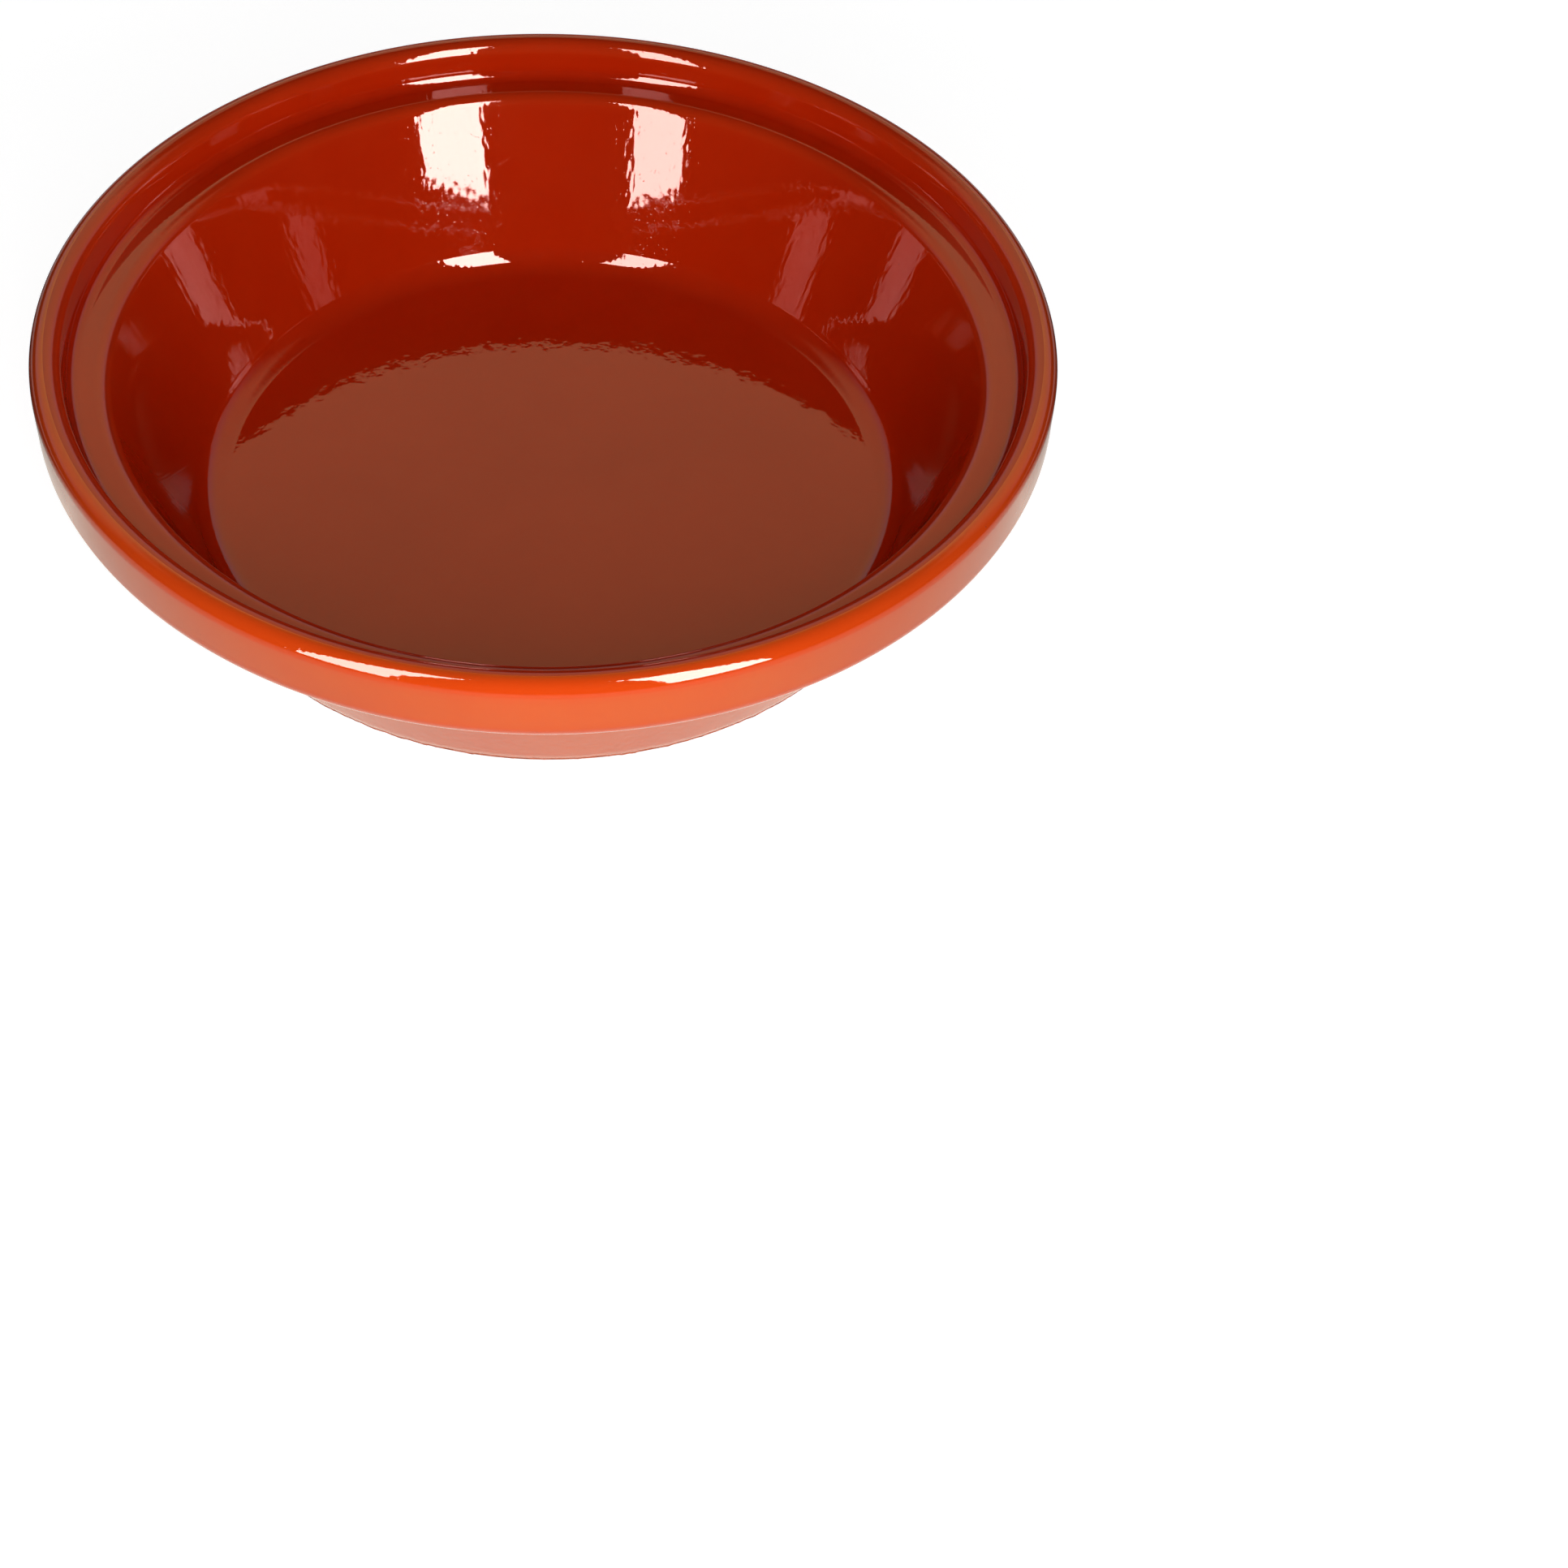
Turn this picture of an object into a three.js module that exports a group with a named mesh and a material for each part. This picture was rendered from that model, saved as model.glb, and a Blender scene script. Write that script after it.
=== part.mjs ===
// The base dish of a tagine: a fired clay bowl with a seat for the lid inside its rim, and the two coats of glaze on it.
// Millimetres, +Z up. The origin is the centre of the foot, on the surface that the dish stands on.
import * as THREE from "three";

// Driving dimensions: the glazed dish
const rimDiameter = 310;
const height = 74.5;
const rimWidth = 8.9; // at the crown
const galleryDepth = 12.5; // crown of the rim down to the lid seat
const rimDraft = THREE.MathUtils.degToRad(5); // lean of the rim's inside, outwards to the crown
const seatWidth = 11.2; // lip of the bowl out to the rim
const flangeThickness = 9; // lid seat down to the underside of the flange
const wallThickness = 5.8; // at the lip; the two leans thicken the wall towards the foot
const insideLean = THREE.MathUtils.degToRad(23.5); // from upright
const outsideLean = THREE.MathUtils.degToRad(21.8);
const floorThickness = 8;

// Driving dimensions: rounded edges and hollow corners
const floorFillet = 10;
const lipRound = 5;
const seatFillet = 3.5;
const rimUnderRound = 5.5;
const flangeFillet = 5;
const footRound = 4;

// Driving dimensions: the ribbed foot
const crestCount = 6;
const crestPitch = 12.2;
const crestMargin = 12.5; // corner of the foot in to the outermost crest
const crestLand = 1.2; // worn flat on top of each crest
const scallopRadius = 13; // of the tool that turned the hollows between the crests
const centreRecess = 0.6;
const centreSlope = 3; // run of the slope from the innermost crest down to the recess

// Driving dimensions: the glaze
const glazeThickness = 0.5;
const bondGap = 0.1; // between a coat and the clay
const coatSeam = 0.1; // between the two coats, on the crown

// Fineness of the round forms
const facets = 60;
const arcStep = THREE.MathUtils.degToRad(22.5);
const scallopSteps = 4;

// Sizes that follow
const rimRadius = rimDiameter / 2;
const crownInside = rimRadius - rimWidth;
const rimInside = crownInside - galleryDepth * Math.tan(rimDraft); // down at the seat
const lipRadius = rimInside - seatWidth;
const seatHeight = height - galleryDepth;
const flangeHeight = seatHeight - flangeThickness;
const wallTop = lipRadius + wallThickness / Math.cos(outsideLean);
const insideWall = (z) => lipRadius - (seatHeight - z) * Math.tan(insideLean);
const outsideWall = (z) => wallTop - (seatHeight - z) * Math.tan(outsideLean);
const footRadius = outsideWall(0);
const coatDepth = bondGap + glazeThickness;

// The rim's top is a full round: the arcs of its two corners meet at the seam of the coats.
const insideTangent = Math.tan(Math.PI / 4 - rimDraft / 2);
const crownRound = (rimWidth - coatSeam) / (1 + insideTangent);
const crownSeam = [crownInside + crownRound * insideTangent, rimRadius - crownRound];

const point = (r, z) => new THREE.Vector2(r, z);
const corner = (r, z, round = 0) => ({ at: point(r, z), round });

// The finished surface as corners with their rounding, from the middle of the floor out, over the rim and down to the
// foot. The clay lies to the right of this path.
const insideCorners = [
  corner(0, floorThickness),
  corner(insideWall(floorThickness), floorThickness, floorFillet),
  corner(lipRadius, seatHeight, lipRound),
  corner(rimInside, seatHeight, seatFillet),
  corner(crownInside, height, crownRound),
];
const outsideCorners = [
  corner(rimRadius, height, crownRound),
  corner(rimRadius, flangeHeight, rimUnderRound),
  corner(outsideWall(flangeHeight), flangeHeight, flangeFillet),
];

// The outside coat stops where the foot's rounded corner begins.
const footTangent = footRound * Math.tan(Math.PI / 4 - outsideLean / 2);
const glazeLine = footTangent * Math.cos(outsideLean);

// Moves every side of a path to the right, into the clay, by the same depth. A convex round loses that depth and a
// hollow one gains it.
function inset(corners, depth) {
  const sides = corners.slice(1).map((next, i) => {
    const along = next.at.clone().sub(corners[i].at).normalize();
    const start = corners[i].at.clone().addScaledVector(point(along.y, -along.x), depth);
    return { along, start };
  });
  return corners.map((old, i) => {
    const before = sides[i - 1];
    const after = sides[i];
    if (!before) {
      return { ...old, at: after.start };
    }
    if (!after) {
      return { ...old, at: before.start.clone().addScaledVector(before.along, old.at.distanceTo(corners[i - 1].at)) };
    }
    const turn = before.along.cross(after.along);
    const reach = after.start.clone().sub(before.start).cross(after.along) / turn;
    return {
      at: before.start.clone().addScaledVector(before.along, reach),
      round: old.round + Math.sign(turn) * depth,
    };
  });
}

// The points of a path, with an arc at each rounded corner.
function rounded(corners) {
  return corners.flatMap(({ at, round }, i) => {
    if (round === 0) {
      return [at];
    }
    const before = at.clone().sub(corners[i - 1].at).normalize();
    const after = corners[i + 1].at.clone().sub(at).normalize();
    const turn = Math.asin(THREE.MathUtils.clamp(before.cross(after), -1, 1));
    const side = point(-before.y, before.x).multiplyScalar(Math.sign(turn));
    const start = at.clone().addScaledVector(before, -round * Math.tan(Math.abs(turn) / 2));
    const steps = Math.ceil(Math.abs(turn) / arcStep);
    return Array.from({ length: steps + 1 }, (_, k) => {
      const angle = (Math.abs(turn) * k) / steps;
      return start
        .clone()
        .addScaledVector(before, round * Math.sin(angle))
        .addScaledVector(side, round * (1 - Math.cos(angle)));
    });
  });
}

// The bare underside, from the rounded corner of the foot in to the axis: worn crests with turned hollows between.
function underside(footFlat) {
  const points = [];
  let outer = footFlat - crestLand;
  points.push(point(outer, 0));
  for (let k = 0; k < crestCount; k += 1) {
    const crest = footRadius - crestMargin - k * crestPitch;
    const width = outer - (crest + crestLand / 2);
    for (let step = 1; step < scallopSteps; step += 1) {
      const share = step / scallopSteps;
      const depth = ((width * width) / (2 * scallopRadius)) * share * (1 - share);
      points.push(point(outer - width * share, depth));
    }
    points.push(point(crest + crestLand / 2, 0), point(crest - crestLand / 2, 0));
    outer = crest - crestLand / 2;
  }
  points.push(point(outer - centreSlope, centreRecess), point(0, centreRecess));
  return points;
}

// Turns a section about the upright axis. The section runs with the solid on its right.
function turned(section) {
  const geometry = new THREE.LatheGeometry(section.slice().reverse(), facets);
  geometry.rotateX(Math.PI / 2);
  return geometry;
}

// A coat of glaze: its outer surface out along the path, and its inner surface back.
function coat(path) {
  const surface = rounded(path);
  const back = rounded(inset(path, glazeThickness)).reverse();
  return [...surface, ...back];
}

function clayBody() {
  const path = [...insideCorners, ...outsideCorners, corner(footRadius, 0)];
  const clay = inset(path, coatDepth);
  const wallFoot = clay[clay.length - 1];
  const foot = corner(wallFoot.at.x, 0, footRound);
  const section = rounded([...clay.slice(0, -1), foot, corner(0, 0)]).slice(0, -1);
  const footFlat = section[section.length - 1].x;
  return turned([...section, ...underside(footFlat)]);
}

function insideGlaze() {
  const path = [...insideCorners, corner(crownSeam[0], height)];
  return turned(coat(path));
}

function outsideGlaze() {
  const path = [corner(crownSeam[1], height), ...outsideCorners, corner(outsideWall(glazeLine), glazeLine)];
  const section = coat(path);
  return turned([...section, section[0].clone()]);
}

const clayMaterial = new THREE.MeshStandardMaterial({ color: 0xbc6543, roughness: 0.9, metalness: 0 });
const insideMaterial = new THREE.MeshStandardMaterial({ color: 0xad2202, roughness: 0.1, metalness: 0 });
const outsideMaterial = new THREE.MeshStandardMaterial({ color: 0xbf3d0d, roughness: 0.18, metalness: 0 });

const dish = new THREE.Group();
const addPiece = (name, geometry, material) => {
  const mesh = new THREE.Mesh(geometry, material);
  mesh.name = name;
  dish.add(mesh);
};
addPiece("clay_body", clayBody(), clayMaterial);
addPiece("inside_glaze", insideGlaze(), insideMaterial);
addPiece("outside_glaze", outsideGlaze(), outsideMaterial);

export default dish;
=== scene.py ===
"""The looks of a tagine dish: smooth turned surfaces, two coats of glaze, and bare clay on its foot."""

import math

import bmesh
import bpy
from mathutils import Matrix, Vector, noise


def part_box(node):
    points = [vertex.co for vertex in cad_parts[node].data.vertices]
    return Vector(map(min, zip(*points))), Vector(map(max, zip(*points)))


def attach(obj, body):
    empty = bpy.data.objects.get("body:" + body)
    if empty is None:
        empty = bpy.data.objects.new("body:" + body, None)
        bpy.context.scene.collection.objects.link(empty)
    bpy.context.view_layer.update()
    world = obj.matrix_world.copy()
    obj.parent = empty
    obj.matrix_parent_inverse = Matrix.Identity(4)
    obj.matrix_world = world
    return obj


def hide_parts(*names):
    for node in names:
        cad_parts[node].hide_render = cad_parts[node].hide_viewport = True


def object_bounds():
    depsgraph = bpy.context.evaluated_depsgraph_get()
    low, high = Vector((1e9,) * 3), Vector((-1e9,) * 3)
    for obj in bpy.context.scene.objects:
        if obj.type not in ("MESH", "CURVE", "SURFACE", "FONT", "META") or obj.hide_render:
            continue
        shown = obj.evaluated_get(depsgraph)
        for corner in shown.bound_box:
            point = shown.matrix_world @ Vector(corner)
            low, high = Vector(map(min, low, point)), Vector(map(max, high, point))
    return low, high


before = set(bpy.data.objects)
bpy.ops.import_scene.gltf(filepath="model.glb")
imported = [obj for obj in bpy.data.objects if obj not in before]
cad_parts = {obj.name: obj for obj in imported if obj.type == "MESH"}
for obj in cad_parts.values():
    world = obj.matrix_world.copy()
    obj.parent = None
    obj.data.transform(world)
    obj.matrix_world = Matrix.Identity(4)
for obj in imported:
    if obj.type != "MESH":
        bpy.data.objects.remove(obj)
cad_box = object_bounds()

MM = 0.001

# Reading and smoothing the sections
WELD = 1e-6
SHARP_TURN = math.radians(60)
SHARP_EDGE = math.radians(35)  # between faces of the finished mesh
LONG_SIDE = 2.2  # a side this many times its neighbour's length is a straight one
SMOOTH_STEP = math.radians(5)
LONGEST_STEP = 7 * MM
FOOT_PLANE = 0.02 * MM
CROWN_BAND = 1 * MM  # from the crown down, where the ends of the two coats are
ROUND_STEPS = 720

# The fired form is never quite round or level
WARP_ROUND = 0.25 * MM
WARP_LEVEL = 0.2 * MM
WARP_SCALE = 1.3  # features around the dish, to each radian
WARP_SEED = 1

# The lower edge of the outside coat
EDGE_REACH = 4 * MM
EDGE_STEP = 0.4 * MM
EDGE_RAGGED = 0.9 * MM
EDGE_KEPT = 0.15  # share of the coat's thickness that is left at its edge
EDGE_WAVES = 28  # features of the ragged line around the dish, to each radian
EDGE_FINENESS = (0.7, 2.0, 3)  # of the ragged line: increment, lacunarity and octaves of its fractal
EDGE_FADE = 0.45  # share of the reach over which the coat thins to a mist

# Where the glaze runs thin and where it gathers. On the inside, the paler thin colour along the lip is partly
# glaze running thin and partly a painted highlight.
THIN_REACH = 1.2 * MM
THIN_GAIN = 1.6 * MM
THIN_FADE = (0.1, 0.4)  # thinness over which the plain colour turns to the thin one
DEEP_FADE = (-0.1, -1.0)  # and over which it turns to the deep one

# Worn crests of the foot
CREST_REACH = 1.6 * MM
CREST_STEP = 0.8 * MM

# Colours, linear
WHITE = (1, 1, 1, 1)
INSIDE_COLOURS = {
    "plain": (0.42, 0.016, 0.0006, 1),
    # partly glaze running thin, partly a painted highlight along the lip
    "thin": (0.46, 0.026, 0.003, 1),
    "deep": (0.27, 0.007, 0.0003, 1),
}
OUTSIDE_COLOURS = {
    "plain": (0.60, 0.084, 0.010, 1),
    "thin": (0.62, 0.046, 0.003, 1),
    "deep": (0.42, 0.036, 0.003, 1),
}
CLAY = (0.50, 0.130, 0.056, 1)
CLAY_PALE = (0.62, 0.22, 0.11, 1)
CLAY_DARK = (0.40, 0.095, 0.042, 1)
CHIP_COLOUR = (0.12, 0.022, 0.016, 1)
WEAR_COLOUR = (0.66, 0.38, 0.27, 1)

# Unevenness of the coats: heights and sizes. The flat floor is calmer than the walls, and the outer wall,
# under the flange, is coarser.
WAVE = 0.012 * MM
WAVE_SIZE = 24 * MM
PEEL = 0.006 * MM
PEEL_SIZE = 9 * MM
GRAIN = 0.002 * MM
GRAIN_SIZE = 0.9 * MM
RUNS = 0.024 * MM
RUNS_SIZE = 1.4 * MM
RUNS_STRETCH = 2.5  # down the walls
BLISTER = 0.006 * MM
BLISTERS = {"spacing": 1.3 * MM, "size": 0.6 * MM, "share": 0.3}
FLOOR_CALM = 0.12  # share of the grain, runs and blisters that is left on the flat floor
RIPPLE = 0.10 * MM  # on the flat floor alone
RIPPLE_SIZE = 4.5 * MM
ORANGE_PEEL = 0.10 * MM
ORANGE_PEEL_SIZE = 2.4 * MM
ORANGE_PEEL_FADE = (7 * MM, -1 * MM)  # above the flange's underside, from none to full
PINHOLE_DEPTH = 0.05 * MM
PINHOLES = {"spacing": 11 * MM, "size": 0.5 * MM, "share": 0.35}
SPECK_CORE = 0.6  # share of a speck's width that is full

# Patches and gloss of the coats. A tint is the most that a patch or a speck changes the colour.
MOTTLE = {"size": 14 * MM, "detail": 4, "low": 0.4, "high": 0.75}
CLOUDS = {"size": 70 * MM, "detail": 2, "low": 0.6, "high": 0.3}
PATCH_TINT = 0.2
PINHOLE_TINT = 0.8
MIST_GRAIN = 0.7  # what the grain adds to the mist at the lower edge
MIST_FADE = (0.75, 1.15)
MIST_ROUGHNESS = 0.6
GLOSS_SIZE = 9 * MM
GLOSS_FADE = (0.3, 0.8)
GLAZE_ROUGHNESS = (0.018, 0.048)
GLAZE_IOR = 1.52
GLAZE_TINT = (1.0, 0.56, 0.50, 1)  # of what it mirrors

# Finish of the bare clay: clouds, grain, pores, pale flecks, and wear and bites on the crests
CLAY_CLOUDS = {"size": 35 * MM, "detail": 4, "low": 0.35, "high": 0.7}
CLAY_GRAIN = 0.10 * MM
CLAY_GRAIN_SIZE = 0.9 * MM
CLAY_GRAIN_FADE = (0.5, 0.8)
CLAY_GRAIN_TINT = 0.5
CLAY_GLOSS_FADE = (0.2, 0.8)
CLAY_ROUGHNESS = (0.8, 0.92)
PORE_DEPTH = 0.15 * MM
PORES = {"spacing": 2.2 * MM, "size": 0.4 * MM, "share": 0.35}
PORE_TINT = 0.7
FLECKS = {"spacing": 3.1 * MM, "size": 0.4 * MM, "share": 0.2}
FLECK_TINT = 0.8
WEAR = {"size": 60 * MM, "detail": 3, "low": 0.45, "high": 0.7}
WEAR_TINT = 0.6
BITE_DEPTH = 0.3 * MM
BITES = {"size": 5 * MM, "detail": 4, "low": 0.5, "high": 0.6}
BITTEN_PARTS = {"size": 90 * MM, "detail": 1, "low": 0.45, "high": 0.6}
BITE_TINT = 0.85

# The camera of the photograph
CAMERA_PLACE = (0.00775, -0.64197, 0.59138)
CAMERA_TURN = (41.3028, -2.8979, -3.3163)
CAMERA_LENS = 61.14
CAMERA_SENSOR = 36

# The studio: tall sheets of light that face the axis. Azimuths are from the -Y side, in degrees, and a rise
# is a height over the sheet's distance. The glaze mirrors the strips alone, and the rest light the colours
# alone.
STRIPS = {
    "strip_left": {"azimuth": -32.7, "distance": 0.35, "rise": (0.316, 2.28), "width": 0.092, "radiance": 29},
    "strip_right": {"azimuth": 27.8, "distance": 0.5, "rise": (0.286, 2.155), "width": 0.158, "radiance": 38},
}
LIGHTS = {
    "key_left": {"azimuth": -11, "distance": 0.56, "rise": (0.10, 1.6), "width": 0.19, "radiance": 3.6},
    "key_right": {"azimuth": 10, "distance": 0.70, "rise": (0.10, 1.6), "width": 0.27, "radiance": 7.6},
    "back": {"azimuth": 180, "distance": 1.3, "rise": (0, 0.2), "width": 0.9, "radiance": 11},
}
FILL = (0.03, 0.03, 0.03, 1)

# What the glaze mirrors: a dark room, a pale backdrop, warm higher up, and a pale table with dark cards
ROOM_DARK = (0.02, 0.02, 0.02, 1)
BACKDROP = (1.28, 1.05, 0.56, 1)
BACKDROP_LOW = (0.85, 0.78, 0.78, 1)
BACKDROP_START = (0.15, 0.45)  # along Y of a direction
BACKDROP_FOOT = (0.26, 0.36)  # along Z of a direction
BACKDROP_WARM = (0.40, 0.58)  # along Z, from the low colour to the warm one
BACKDROP_TOP = (0.80, 0.74)  # along Z
TABLE_TINT = (1.0, 0.92, 0.80, 1)
TABLE_LIT = (0.5, 0.46, 0.40, 1)
TABLE_BEHIND = (0.5, 0.46, 0.46, 1)
TABLE_MIDDLE = (-20 * MM, 60 * MM)  # along Y, from the front part to the part behind
CARD_SIDE = (160 * MM, 200 * MM)  # dark cards at both sides: along X
CARD_END = (240 * MM, 180 * MM)  # and along Y

# The floor: white to the camera, and grey in the light that it throws back at the dish
FLOOR_SIZE = 12
FLOOR_GREY = (0.4, 0.4, 0.4, 1)
FLOOR_GLOW = (0.9, 0.9, 0.9, 1)
FLOOR_LIT = (0.3, 0.3, 0.3, 1)
FLOOR_FADE = (0.3, 0.7)  # distances from the axis over which it fades into the white behind


def read_section(node):
    """The (r, z) outline that the half plane y = 0, x > 0 cuts from a node, in order, and if it is closed."""
    cut = bmesh.new()
    cut.from_mesh(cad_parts[node].data)
    bmesh.ops.remove_doubles(cut, verts=cut.verts, dist=WELD)
    everything = cut.verts[:] + cut.edges[:] + cut.faces[:]
    sliced = bmesh.ops.bisect_plane(
        cut, geom=everything, dist=WELD, plane_co=(0, 0, 0), plane_no=(0, 1, 0)
    )
    links = {}
    for item in sliced["geom_cut"]:
        if isinstance(item, bmesh.types.BMEdge) and min(v.co.x for v in item.verts) > -WELD:
            first, second = item.verts
            links.setdefault(first, []).append(second)
            links.setdefault(second, []).append(first)
    ends = [v for v, near in links.items() if len(near) == 1]
    top_first = sorted(ends or links, key=lambda v: (-round(v.co.z, 6), v.co.x))
    path = [top_first[0]]
    while True:
        onward = [v for v in links[path[-1]] if v not in path]
        if not onward:
            break
        path.append(max(onward, key=lambda v: v.co.x) if len(path) == 1 else onward[0])
    outline = [Vector((max(v.co.x, 0), v.co.z)) for v in path]
    cut.free()
    return outline, not ends


def turn_between(before, after):
    """The signed angle from one side of an outline to the next, positive to the left."""
    return math.atan2(before.x * after.y - before.y * after.x, before.dot(after))


def mirrored(tangent, chord):
    """The direction at one end of an arc, from that at its other end."""
    along = chord.normalized()
    return (2 * tangent.dot(along) * along - tangent).normalized()


def end_directions(outline, closed):
    """The sides of an outline, and for each the directions of the smooth curve at its two ends."""
    count = len(outline)
    sides = [outline[(i + 1) % count] - outline[i] for i in range(count if closed else count - 1)]
    smooth = []
    for i, point in enumerate(outline):
        before = sides[i - 1] if closed or i > 0 else None
        after = sides[i] if i < len(sides) else None
        if before is None or after is None:
            smooth.append(Vector((1, 0)) if before is None else Vector((-1, 0)))
            continue
        if abs(turn_between(before, after)) > SHARP_TURN or abs(point.y) < FOOT_PLANE:
            smooth.append(None)
        elif before.length > LONG_SIDE * after.length:
            smooth.append(before.normalized())
        elif after.length > LONG_SIDE * before.length:
            smooth.append(after.normalized())
        else:
            smooth.append((before.normalized() + after.normalized()).normalized())
    directions = []
    for i, chord in enumerate(sides):
        start, end = smooth[i], smooth[(i + 1) % count]
        if start is None and end is None:
            start = end = chord.normalized()
        elif start is None:
            start = mirrored(end, chord)
        elif end is None:
            end = mirrored(start, chord)
        directions.append((start, end))
    return sides, directions


def curve_point(start, end, leave, arrive, share):
    """A point on the smooth curve between two points of an outline."""
    length = (end - start).length
    t2 = share * share
    t3 = t2 * share
    return (
        (2 * t3 - 3 * t2 + 1) * start
        + (t3 - 2 * t2 + share) * length * leave
        + (3 * t2 - 2 * t3) * end
        + (t3 - t2) * length * arrive
    )


def split_at(outline, closed, level):
    """The outline with a point added wherever a side of it crosses a height."""
    split = []
    for i, point in enumerate(outline):
        split.append(point)
        if i + 1 == len(outline) and not closed:
            break
        after = outline[(i + 1) % len(outline)]
        if (point.y - level) * (after.y - level) < 0:
            split.append(point.lerp(after, (level - point.y) / (after.y - point.y)))
    return split


def smoothed(outline, closed, longest):
    """The outline as fine smooth curves, with steps up to longest(start, end). Sides without one stay."""
    sides, directions = end_directions(outline, closed)
    fine = []
    for i, chord in enumerate(sides):
        start = outline[i]
        end = outline[(i + 1) % len(outline)]
        leave, arrive = directions[i]
        limit = longest(start, end)
        steps = 1
        if limit:
            bend = abs(turn_between(leave, arrive))
            steps = max(math.ceil(bend / SMOOTH_STEP), math.ceil(chord.length / limit))
        fine += [curve_point(start, end, leave, arrive, k / steps) for k in range(steps)]
    if not closed:
        fine.append(outline[-1])
    return fine


def warp(place):
    """Moves a point of the dish by the slight unevenness of its firing, which grows outwards and up."""
    reach = place.xy.length
    if reach < WELD:
        return place
    out = place.xy.normalized()
    share = (place.z / cad_box[1].z) * (reach / cad_box[1].x) ** 2
    uneven = noise.noise_vector(Vector((out.x, out.y, 0)) * WARP_SCALE) * share
    bulge = uneven.x * WARP_ROUND
    return place + Vector((out.x * bulge, out.y * bulge, uneven.z * WARP_LEVEL))


def turned(name, outline, closed, shape, values):
    """A closed mesh from an outline turned about the Z axis. shape(i, angle, place) moves a point of the
    outline, and values(i, angle) gives the point's numbers for the material, by name."""
    places = []
    faces = []
    numbers = {}
    rows = []
    angles = [2 * math.pi * k / ROUND_STEPS for k in range(ROUND_STEPS)]
    for i, point in enumerate(outline):
        on_axis = point.x < WELD
        row = []
        for angle in angles[:1] if on_axis else angles:
            place = Vector((point.x * math.cos(angle), point.x * math.sin(angle), point.y))
            row.append(len(places))
            places.append(warp(shape(i, angle, place)))
            for key, number in values(i, angle).items():
                numbers.setdefault(key, []).append(number)
        rows.append(row * ROUND_STEPS if on_axis else row)
    for i in range(len(rows) if closed else len(rows) - 1):
        inner = rows[i]
        outer = rows[(i + 1) % len(rows)]
        for k in range(ROUND_STEPS):
            after = (k + 1) % ROUND_STEPS
            corners = [inner[k], outer[k], outer[after], inner[after]]
            faces.append(list(dict.fromkeys(corners)))
    mesh = bpy.data.meshes.new(name)
    mesh.from_pydata(places, [], faces)
    for key, column in numbers.items():
        layer = mesh.attributes.new(key, "FLOAT", "POINT")
        layer.data.foreach_set("value", column)
    form = bmesh.new()
    form.from_mesh(mesh)
    bmesh.ops.recalc_face_normals(form, faces=form.faces)
    form.to_mesh(mesh)
    form.free()
    mesh.shade_smooth()
    mesh.set_sharp_from_angle(angle=SHARP_EDGE)
    piece = bpy.data.objects.new(name, mesh)
    bpy.context.scene.collection.objects.link(piece)
    return piece


def thinness(outline, closed):
    """How thin the glaze lies at each point of an outline: above 0 on edges and below 0 in hollows."""
    count = len(outline)
    bends = []
    for i in range(count):
        if not closed and i in (0, count - 1):
            bends.append(0)
            continue
        before = outline[i] - outline[i - 1]
        after = outline[(i + 1) % count] - outline[i]
        bend = turn_between(before, after)
        bends.append(0 if abs(bend) > SHARP_TURN else -bend)
    along = [0]
    for i in range(count):
        along.append(along[-1] + (outline[(i + 1) % count] - outline[i]).length)
    found = []
    for i in range(count):
        total = 0
        for k in range(count):
            apart = abs(along[k] - along[i])
            apart = min(apart, along[-1] - apart) if closed else apart
            total += bends[k] * math.exp(-((apart / THIN_REACH) ** 2))
        found.append(total / (THIN_REACH * math.sqrt(math.pi)) * THIN_GAIN)
    return found


def add_node(tree, kind, inputs=None, **settings):
    """A node with its settings, and its inputs linked to a socket or set to a value."""
    made = tree.nodes.new(kind)
    for key, value in settings.items():
        setattr(made, key, value)
    for key, value in (inputs or {}).items():
        if isinstance(value, bpy.types.NodeSocket):
            tree.links.new(value, made.inputs[key])
        else:
            made.inputs[key].default_value = value
    return made


def new_material(name):
    material = bpy.data.materials.new(name)
    material.use_nodes = True
    tree = material.node_tree
    return material, tree, tree.nodes["Principled BSDF"]


def math_node(tree, operation, first, second, clamp=False):
    made = add_node(tree, "ShaderNodeMath", {0: first, 1: second}, operation=operation, use_clamp=clamp)
    return made.outputs[0]


def mix_colour(tree, share, first, second):
    made = add_node(tree, "ShaderNodeMix", data_type="RGBA")
    for key, value in (("Factor_Float", share), ("A_Color", first), ("B_Color", second)):
        socket = next(s for s in made.inputs if s.identifier == key)
        if isinstance(value, bpy.types.NodeSocket):
            tree.links.new(value, socket)
        else:
            socket.default_value = value
    return next(s for s in made.outputs if s.identifier == "Result_Color")


def tinted(tree, colour, mask, tint, other):
    """The colour turned towards another by a mask, up to a tint."""
    return mix_colour(tree, math_node(tree, "MULTIPLY", mask, tint), colour, other)


def noise_node(tree, place, size, detail):
    """Noise whose features are about so many metres across."""
    inputs = {"Vector": place, "Scale": 1 / size, "Detail": detail}
    return add_node(tree, "ShaderNodeTexNoise", inputs).outputs["Fac"]


def ramp(tree, value, low, high, start=0.0, end=1.0):
    """The start below low, the end above high and even between them. high may be the lower one."""
    inputs = {"Value": value, "From Min": low, "From Max": high, "To Min": start, "To Max": end}
    return add_node(tree, "ShaderNodeMapRange", inputs, clamp=True).outputs["Result"]


def patches(tree, place, size, detail, low, high):
    """Soft patches: 0 where noise of a size is below low, 1 where it is above high."""
    return ramp(tree, noise_node(tree, place, size, detail), low, high)


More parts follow.
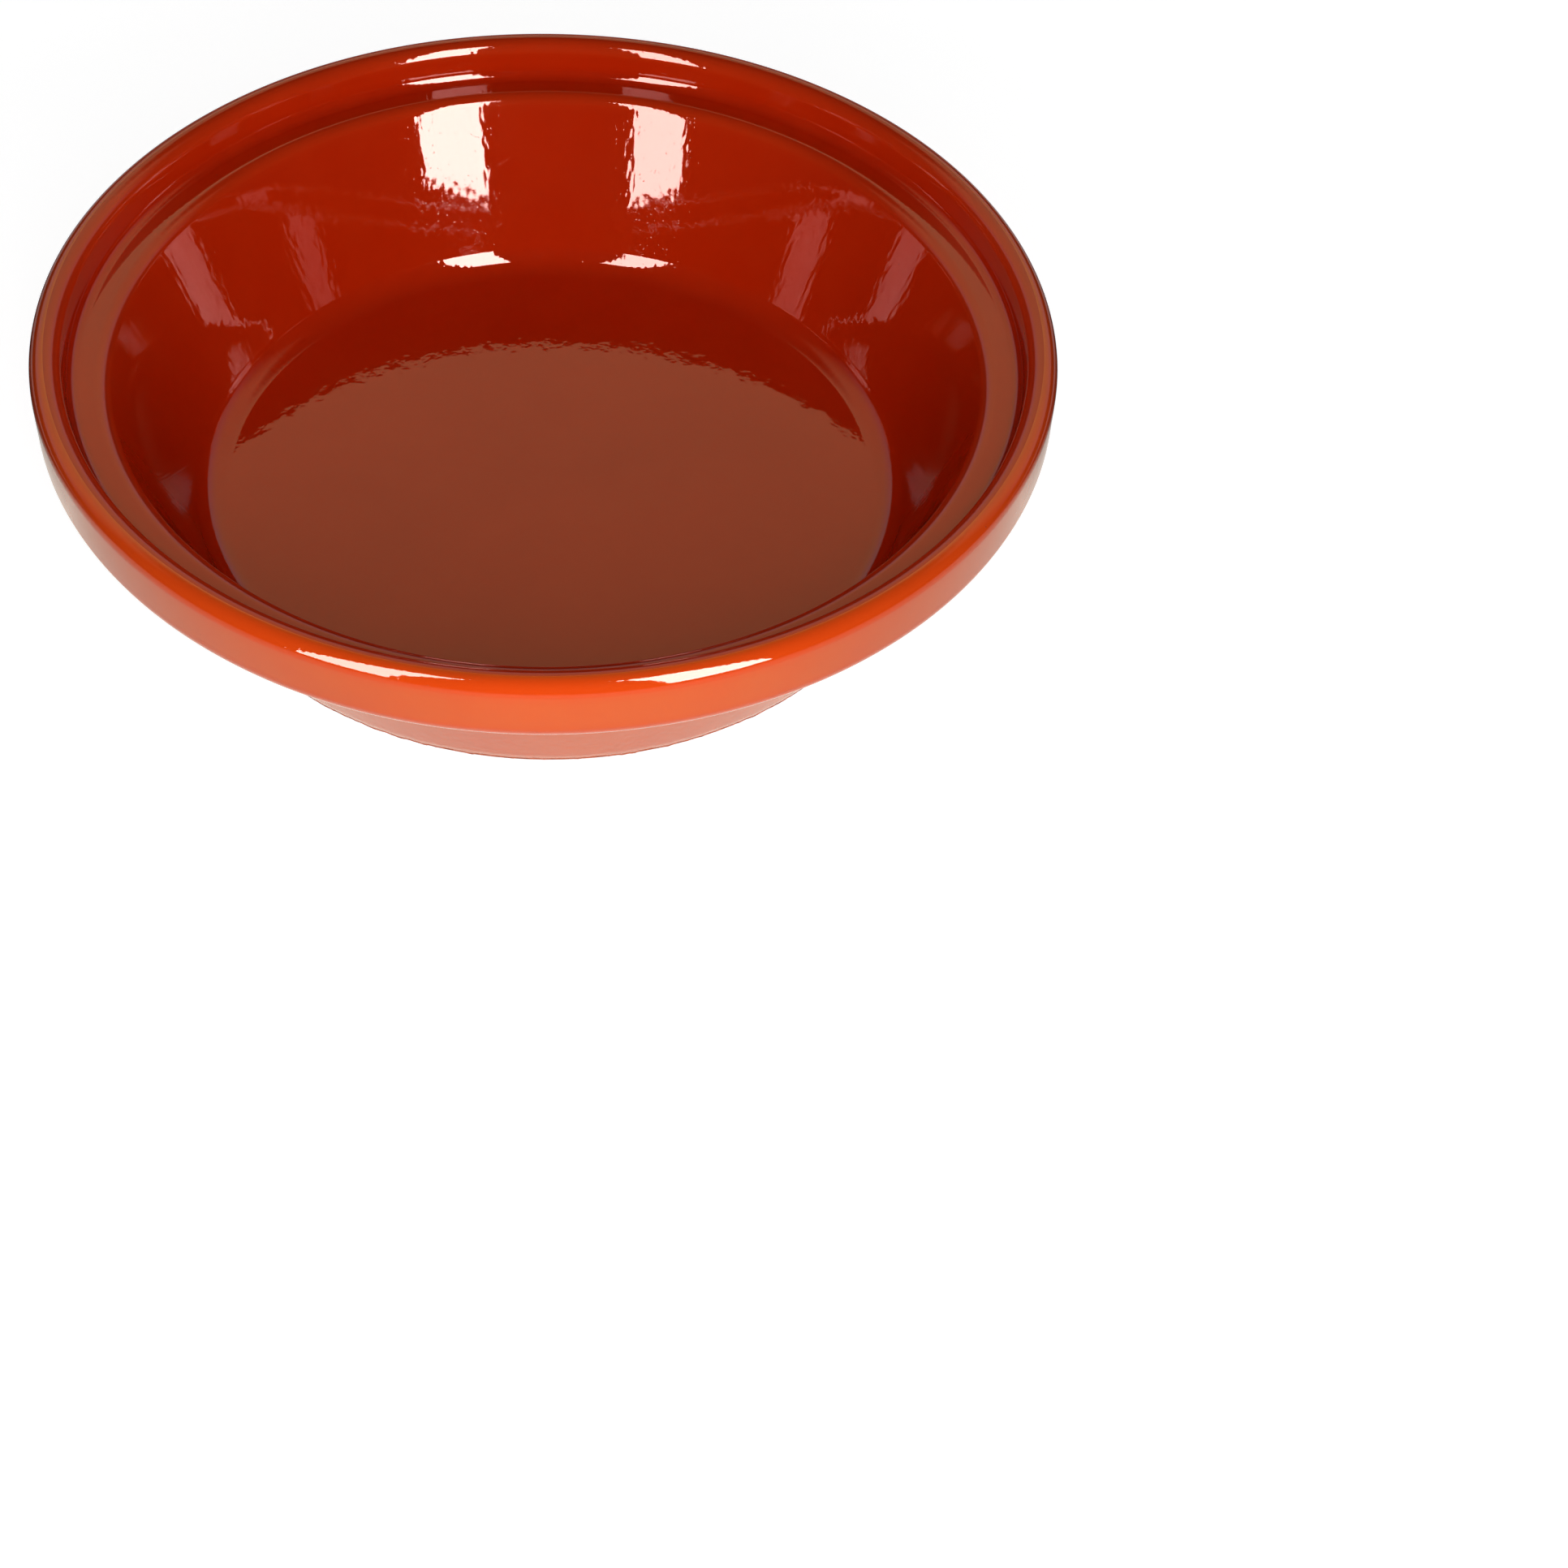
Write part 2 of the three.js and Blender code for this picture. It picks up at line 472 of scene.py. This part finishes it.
def specks(tree, place, spacing, size, share):
    """Round specks: 1 inside one, 0 outside. A share of the cells has one."""
    cells = add_node(tree, "ShaderNodeTexVoronoi", {"Vector": place, "Scale": 1 / spacing})
    edge = size / spacing / 2
    spot = ramp(tree, cells.outputs["Distance"], edge, edge * SPECK_CORE)
    lot = add_node(tree, "ShaderNodeSeparateColor", {"Color": cells.outputs["Color"]}).outputs["Red"]
    return math_node(tree, "MULTIPLY", spot, math_node(tree, "LESS_THAN", lot, share))


def wrapped(tree, place, radius, stretch):
    """A place for noise that lies flat up to a radius, and runs down the walls beyond it."""
    axes = add_node(tree, "ShaderNodeSeparateXYZ", {"Vector": place}).outputs
    level = add_node(tree, "ShaderNodeCombineXYZ", {"X": axes["X"], "Y": axes["Y"]}).outputs[0]
    reach = add_node(tree, "ShaderNodeVectorMath", {0: level}, operation="LENGTH").outputs["Value"]
    share = math_node(tree, "MINIMUM", math_node(tree, "DIVIDE", radius, reach), 1.0)
    inputs = {0: level, "Scale": share}
    level = add_node(tree, "ShaderNodeVectorMath", inputs, operation="SCALE").outputs[0]
    down = math_node(tree, "DIVIDE", axes["Z"], stretch)
    down = add_node(tree, "ShaderNodeCombineXYZ", {"Z": down}).outputs[0]
    return add_node(tree, "ShaderNodeVectorMath", {0: level, 1: down}, operation="ADD").outputs[0]


def summed(tree, forms):
    """The sum of forms, each times its height."""
    total = 0
    for form, height in forms:
        total = math_node(tree, "ADD", total, math_node(tree, "MULTIPLY", form, height))
    return total


def give_bump(tree, shader, height):
    bump = add_node(tree, "ShaderNodeBump", {"Strength": 1.0, "Distance": 1.0, "Height": height})
    tree.links.new(bump.outputs["Normal"], shader.inputs["Normal"])


def attribute(tree, name):
    return add_node(tree, "ShaderNodeAttribute", attribute_name=name).outputs["Fac"]


def glaze_material(name, colours, flat_reach, flange_level=None):
    """Glossy glaze. It lies flat out to a radius, and has orange peel below the flange if there is one."""
    material, tree, shader = new_material(name)
    place = add_node(tree, "ShaderNodeTexCoord").outputs["Object"]
    thin = attribute(tree, "thin")
    lively = attribute(tree, "lively")
    grain = noise_node(tree, place, GRAIN_SIZE, 3)
    pinholes = specks(tree, place, **PINHOLES)
    ragged = math_node(tree, "ADD", attribute(tree, "edge"), math_node(tree, "MULTIPLY", grain, MIST_GRAIN))
    mist = ramp(tree, ragged, *MIST_FADE)
    # The thin colour on edges: glaze running thin, and on the inside partly a painted highlight along the lip
    colour = mix_colour(tree, ramp(tree, thin, *THIN_FADE), colours["plain"], colours["thin"])
    colour = mix_colour(tree, ramp(tree, thin, *DEEP_FADE), colour, colours["deep"])
    colour = tinted(tree, colour, patches(tree, place, **MOTTLE), PATCH_TINT, colours["thin"])
    colour = tinted(tree, colour, patches(tree, place, **CLOUDS), PATCH_TINT, colours["deep"])
    colour = tinted(tree, colour, pinholes, PINHOLE_TINT, CHIP_COLOUR)
    colour = mix_colour(tree, mist, colour, CLAY)
    tree.links.new(colour, shader.inputs["Base Color"])
    gloss = ramp(tree, noise_node(tree, place, GLOSS_SIZE, 3), *GLOSS_FADE, *GLAZE_ROUGHNESS)
    gloss = math_node(tree, "ADD", gloss, math_node(tree, "MULTIPLY", mist, MIST_ROUGHNESS), clamp=True)
    tree.links.new(gloss, shader.inputs["Roughness"])
    shader.inputs["IOR"].default_value = GLAZE_IOR
    shader.inputs["Specular Tint"].default_value = GLAZE_TINT
    fine = [
        (grain, GRAIN),
        (noise_node(tree, wrapped(tree, place, flat_reach, RUNS_STRETCH), RUNS_SIZE, 0), RUNS),
        (specks(tree, place, **BLISTERS), BLISTER),
    ]
    calm = math_node(tree, "SUBTRACT", 1.0, lively)
    forms = [
        (noise_node(tree, place, WAVE_SIZE, 1), WAVE),
        (noise_node(tree, place, PEEL_SIZE, 2), PEEL),
        (noise_node(tree, place, RIPPLE_SIZE, 2), math_node(tree, "MULTIPLY", calm, RIPPLE)),
        (summed(tree, fine), lively),
        (pinholes, -PINHOLE_DEPTH),
    ]
    if flange_level:
        level = add_node(tree, "ShaderNodeSeparateXYZ", {"Vector": place}).outputs["Z"]
        ends = [flange_level + fade for fade in ORANGE_PEEL_FADE]
        coarse = math_node(tree, "MULTIPLY", ramp(tree, level, *ends), ORANGE_PEEL)
        forms.append((noise_node(tree, place, ORANGE_PEEL_SIZE, 2), coarse))
    give_bump(tree, shader, summed(tree, forms))
    return material


def clay_material(name):
    """Matt bare clay, worn and bitten on the crests of the foot."""
    material, tree, shader = new_material(name)
    place = add_node(tree, "ShaderNodeTexCoord").outputs["Object"]
    crest = attribute(tree, "crest")
    grain = noise_node(tree, place, CLAY_GRAIN_SIZE, 3)
    pores = specks(tree, place, **PORES)
    worn = math_node(tree, "MULTIPLY", crest, patches(tree, place, **WEAR))
    bites = math_node(tree, "MULTIPLY", patches(tree, place, **BITES), crest)
    bites = math_node(tree, "MULTIPLY", bites, patches(tree, place, **BITTEN_PARTS))
    colour = mix_colour(tree, patches(tree, place, **CLAY_CLOUDS), CLAY_DARK, CLAY)
    colour = tinted(tree, colour, ramp(tree, grain, *CLAY_GRAIN_FADE), CLAY_GRAIN_TINT, CLAY_PALE)
    colour = tinted(tree, colour, pores, PORE_TINT, CHIP_COLOUR)
    colour = tinted(tree, colour, specks(tree, place, **FLECKS), FLECK_TINT, WEAR_COLOUR)
    colour = tinted(tree, colour, worn, WEAR_TINT, WEAR_COLOUR)
    colour = tinted(tree, colour, bites, BITE_TINT, CHIP_COLOUR)
    tree.links.new(colour, shader.inputs["Base Color"])
    rough = ramp(tree, grain, *CLAY_GLOSS_FADE, *CLAY_ROUGHNESS)
    tree.links.new(rough, shader.inputs["Roughness"])
    give_bump(tree, shader, summed(tree, [(grain, CLAY_GRAIN), (pores, -PORE_DEPTH), (bites, -BITE_DEPTH)]))
    return material


def stay(i, angle, place):
    """The shape of a piece whose outline is only turned."""
    return place


def crown_seam():
    """The radius on the crown halfway between the ends of the two coats, and how far they are from it."""
    inside_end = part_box("inside_glaze")[1].x
    outline, _ = read_section("outside_glaze")
    outside_end = min(point.x for point in outline if point.y > cad_box[1].z - WELD)
    return (inside_end + outside_end) / 2, (outside_end - inside_end) / 2 + WELD


def joined(outline, seam, gap):
    """The outline of a coat, with its end on the crown moved up to the seam."""
    moved = []
    for point in outline:
        at_seam = abs(point.x - seam) <= gap and point.y > cad_box[1].z - CROWN_BAND
        moved.append(Vector((seam, point.y)) if at_seam else point)
    return moved


def make_inside_glaze():
    outline, closed = read_section("inside_glaze")
    outline = joined(outline, *crown_seam())
    last = max(k for k, point in enumerate(outline) if point.y > cad_box[1].z - WELD)
    seen = outline[:last + 1]

    def longest(start, end):
        return LONGEST_STEP if start in seen and end in seen else None

    fine = smoothed(outline, closed, longest)
    thin = thinness(fine, closed)
    flat_reach = max(point.x for point in seen if abs(point.y - seen[0].y) < WELD)

    def values(i, angle):
        return {"thin": thin[i], "edge": 0.0, "lively": FLOOR_CALM if fine[i].x < flat_reach else 1.0}

    piece = turned("inside_glaze_coat", fine, closed, stay, values)
    piece.data.materials.append(glaze_material("inside_glaze", INSIDE_COLOURS, flat_reach))
    return piece


def make_outside_glaze():
    outline, closed = read_section("outside_glaze")
    outline = joined(outline, *crown_seam())
    front, back = sorted(sorted(outline, key=lambda point: point.y)[:2], key=lambda point: -point.x)
    level = max(front.y, back.y) + EDGE_REACH
    outline = split_at(outline, closed, level)
    inwards = back - front
    up_wall = Vector((-inwards.y, inwards.x)).normalized()
    up_wall *= math.copysign(1, up_wall.y)

    def longest(start, end):
        return EDGE_STEP if max(start.y, end.y) < level + WELD else LONGEST_STEP

    fine = smoothed(outline, closed, longest)
    thin = thinness(fine, closed)
    nearness = [min(max((level - point.y) / EDGE_REACH, 0), 1) for point in fine]
    on_front = [(point - front).dot(inwards) < inwards.length_squared / 2 for point in fine]

    def ragged(i, angle, place):
        share = nearness[i] ** 2
        around = Vector((math.cos(angle), math.sin(angle), 0)) * EDGE_WAVES
        shift = up_wall * noise.fractal(around, *EDGE_FINENESS) * EDGE_RAGGED * share
        if on_front[i]:
            shift = shift + inwards * (1 - EDGE_KEPT) * share
        return place + Vector((shift.x * math.cos(angle), shift.x * math.sin(angle), shift.y))

    def values(i, angle):
        mist = max(nearness[i] - 1 + EDGE_FADE, 0) / EDGE_FADE
        return {"thin": thin[i], "edge": mist, "lively": 1.0}

    piece = turned("outside_glaze_coat", fine, closed, ragged, values)
    crown = cad_box[1].z - CROWN_BAND
    sides = [side for side in zip(outline, outline[1:]) if max(side[0].y, side[1].y) < crown]
    flange = min(sides, key=lambda side: abs(side[1].y - side[0].y) / (side[1] - side[0]).length_squared)
    piece.data.materials.append(glaze_material("outside_glaze", OUTSIDE_COLOURS, back.x, flange[0].y))
    return piece


def make_clay():
    outline, closed = read_section("clay_body")
    glaze_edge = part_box("outside_glaze")[0].z
    crests = [point.x for point in outline if abs(point.y) < FOOT_PLANE]

    def longest(start, end):
        return CREST_STEP if max(start.y, end.y) < glaze_edge + EDGE_REACH else None

    fine = smoothed(outline, closed, longest)

    def values(i, angle):
        apart = min(abs(fine[i].x - crest) for crest in crests)
        return {"crest": math.exp(-((apart / CREST_REACH) ** 2)) if fine[i].y < glaze_edge else 0.0}

    piece = turned("bare_clay_body", fine, closed, stay, values)
    piece.data.materials.append(clay_material("bare_clay"))
    return piece


def lit_white(tree, glow, lit):
    """A surface that glows by itself and takes light and shadow on top of that."""
    shining = add_node(tree, "ShaderNodeEmission", {"Color": glow})
    diffuse = add_node(tree, "ShaderNodeBsdfDiffuse", {"Color": lit})
    return add_node(tree, "ShaderNodeAddShader", {0: shining.outputs[0], 1: diffuse.outputs[0]}).outputs[0]


def mix_shader(tree, share, first, second):
    return add_node(tree, "ShaderNodeMixShader", {0: share, 1: first, 2: second}).outputs[0]


def make_floor():
    """A white floor with the dish's shadow. In the glaze: a pale table, dimmer behind, and dark cards."""
    bpy.ops.mesh.primitive_plane_add(size=FLOOR_SIZE, location=(0, 0, cad_box[0].z))
    floor = bpy.context.object
    floor.name = "floor"
    material, tree, shader = new_material("floor")
    shader.inputs["Base Color"].default_value = FLOOR_GREY
    shader.inputs["Roughness"].default_value = 1
    shader.inputs["Specular IOR Level"].default_value = 0
    rays = add_node(tree, "ShaderNodeLightPath").outputs
    place = add_node(tree, "ShaderNodeNewGeometry").outputs["Position"]
    axes = add_node(tree, "ShaderNodeSeparateXYZ", {"Vector": place}).outputs
    reach = add_node(tree, "ShaderNodeVectorMath", {0: place}, operation="LENGTH").outputs["Value"]
    glow = mix_colour(tree, ramp(tree, reach, *FLOOR_FADE), FLOOR_GLOW, WHITE)
    white = lit_white(tree, glow, FLOOR_LIT)
    behind = ramp(tree, axes["Y"], *TABLE_MIDDLE)
    aside = add_node(tree, "ShaderNodeMath", {0: axes["X"]}, operation="ABSOLUTE").outputs[0]
    card = math_node(tree, "MULTIPLY", ramp(tree, aside, *CARD_SIDE), ramp(tree, axes["Y"], *CARD_END))
    card = math_node(tree, "MULTIPLY", card, behind)
    glow = mix_colour(tree, card, mix_colour(tree, behind, TABLE_TINT, TABLE_BEHIND), ROOM_DARK)
    mirrored_table = lit_white(tree, glow, mix_colour(tree, behind, TABLE_LIT, ROOM_DARK))
    surface = mix_shader(tree, rays["Is Glossy Ray"], shader.outputs[0], mirrored_table)
    plain = math_node(tree, "MAXIMUM", rays["Is Camera Ray"], rays["Is Transmission Ray"])
    surface = mix_shader(tree, plain, surface, white)
    tree.links.new(surface, tree.nodes["Material Output"].inputs["Surface"])
    floor.data.materials.append(material)


def make_world():
    """White to the camera and a low even fill. In the glaze: a dark room with a pale backdrop behind."""
    world = bpy.data.worlds.new("studio")
    bpy.context.scene.world = world
    world.use_nodes = True
    tree = world.node_tree
    rays = add_node(tree, "ShaderNodeLightPath").outputs
    towards = add_node(tree, "ShaderNodeTexCoord").outputs["Generated"]
    axes = add_node(tree, "ShaderNodeSeparateXYZ", {"Vector": towards}).outputs
    behind = ramp(tree, axes["Y"], *BACKDROP_START)
    for fade in (BACKDROP_FOOT, BACKDROP_TOP):
        behind = math_node(tree, "MULTIPLY", behind, ramp(tree, axes["Z"], *fade))
    backdrop = mix_colour(tree, ramp(tree, axes["Z"], *BACKDROP_WARM), BACKDROP_LOW, BACKDROP)
    mirrored_room = mix_colour(tree, behind, ROOM_DARK, backdrop)
    colour = mix_colour(tree, rays["Is Glossy Ray"], FILL, mirrored_room)
    plain = math_node(tree, "MAXIMUM", rays["Is Camera Ray"], rays["Is Transmission Ray"])
    colour = mix_colour(tree, plain, colour, WHITE)
    background = tree.nodes["Background"]
    background.inputs["Strength"].default_value = 1
    tree.links.new(colour, background.inputs["Color"])


def make_lamp(name, azimuth, distance, rise, width, radiance):
    """An upright sheet of light that faces the axis."""
    foot, top = [share * distance for share in rise]
    light = bpy.data.lights.new(name, "AREA")
    light.shape = "RECTANGLE"
    light.size = width
    light.size_y = top - foot
    light.energy = radiance * math.pi * light.size * light.size_y
    lamp = bpy.data.objects.new(name, light)
    around = math.radians(azimuth)
    lamp.location = (distance * math.sin(around), -distance * math.cos(around), (foot + top) / 2)
    lamp.rotation_euler = (math.pi / 2, 0, around)
    lamp.visible_camera = False
    bpy.context.scene.collection.objects.link(lamp)
    return lamp


def make_camera():
    lens = bpy.data.cameras.new("camera")
    lens.lens = CAMERA_LENS
    lens.sensor_width = CAMERA_SENSOR
    camera = bpy.data.objects.new("camera", lens)
    camera.location = CAMERA_PLACE
    camera.rotation_euler = [math.radians(turn) for turn in CAMERA_TURN]
    bpy.context.scene.collection.objects.link(camera)
    bpy.context.scene.camera = camera


noise.seed_set(WARP_SEED)
make_camera()
make_floor()
make_world()
for name, strip in STRIPS.items():
    make_lamp(name, **strip).visible_diffuse = False
for name, light in LIGHTS.items():
    make_lamp(name, **light).visible_glossy = False

MAKERS = {
    "clay_body": (make_clay, "bare_clay"),
    "inside_glaze": (make_inside_glaze, "inside_glaze"),
    "outside_glaze": (make_outside_glaze, "outside_glaze"),
}
for node, (maker, slot) in MAKERS.items():
    piece = maker()
    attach(piece, "root")
    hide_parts(node)

bpy.context.scene.view_settings.view_transform = "Standard"
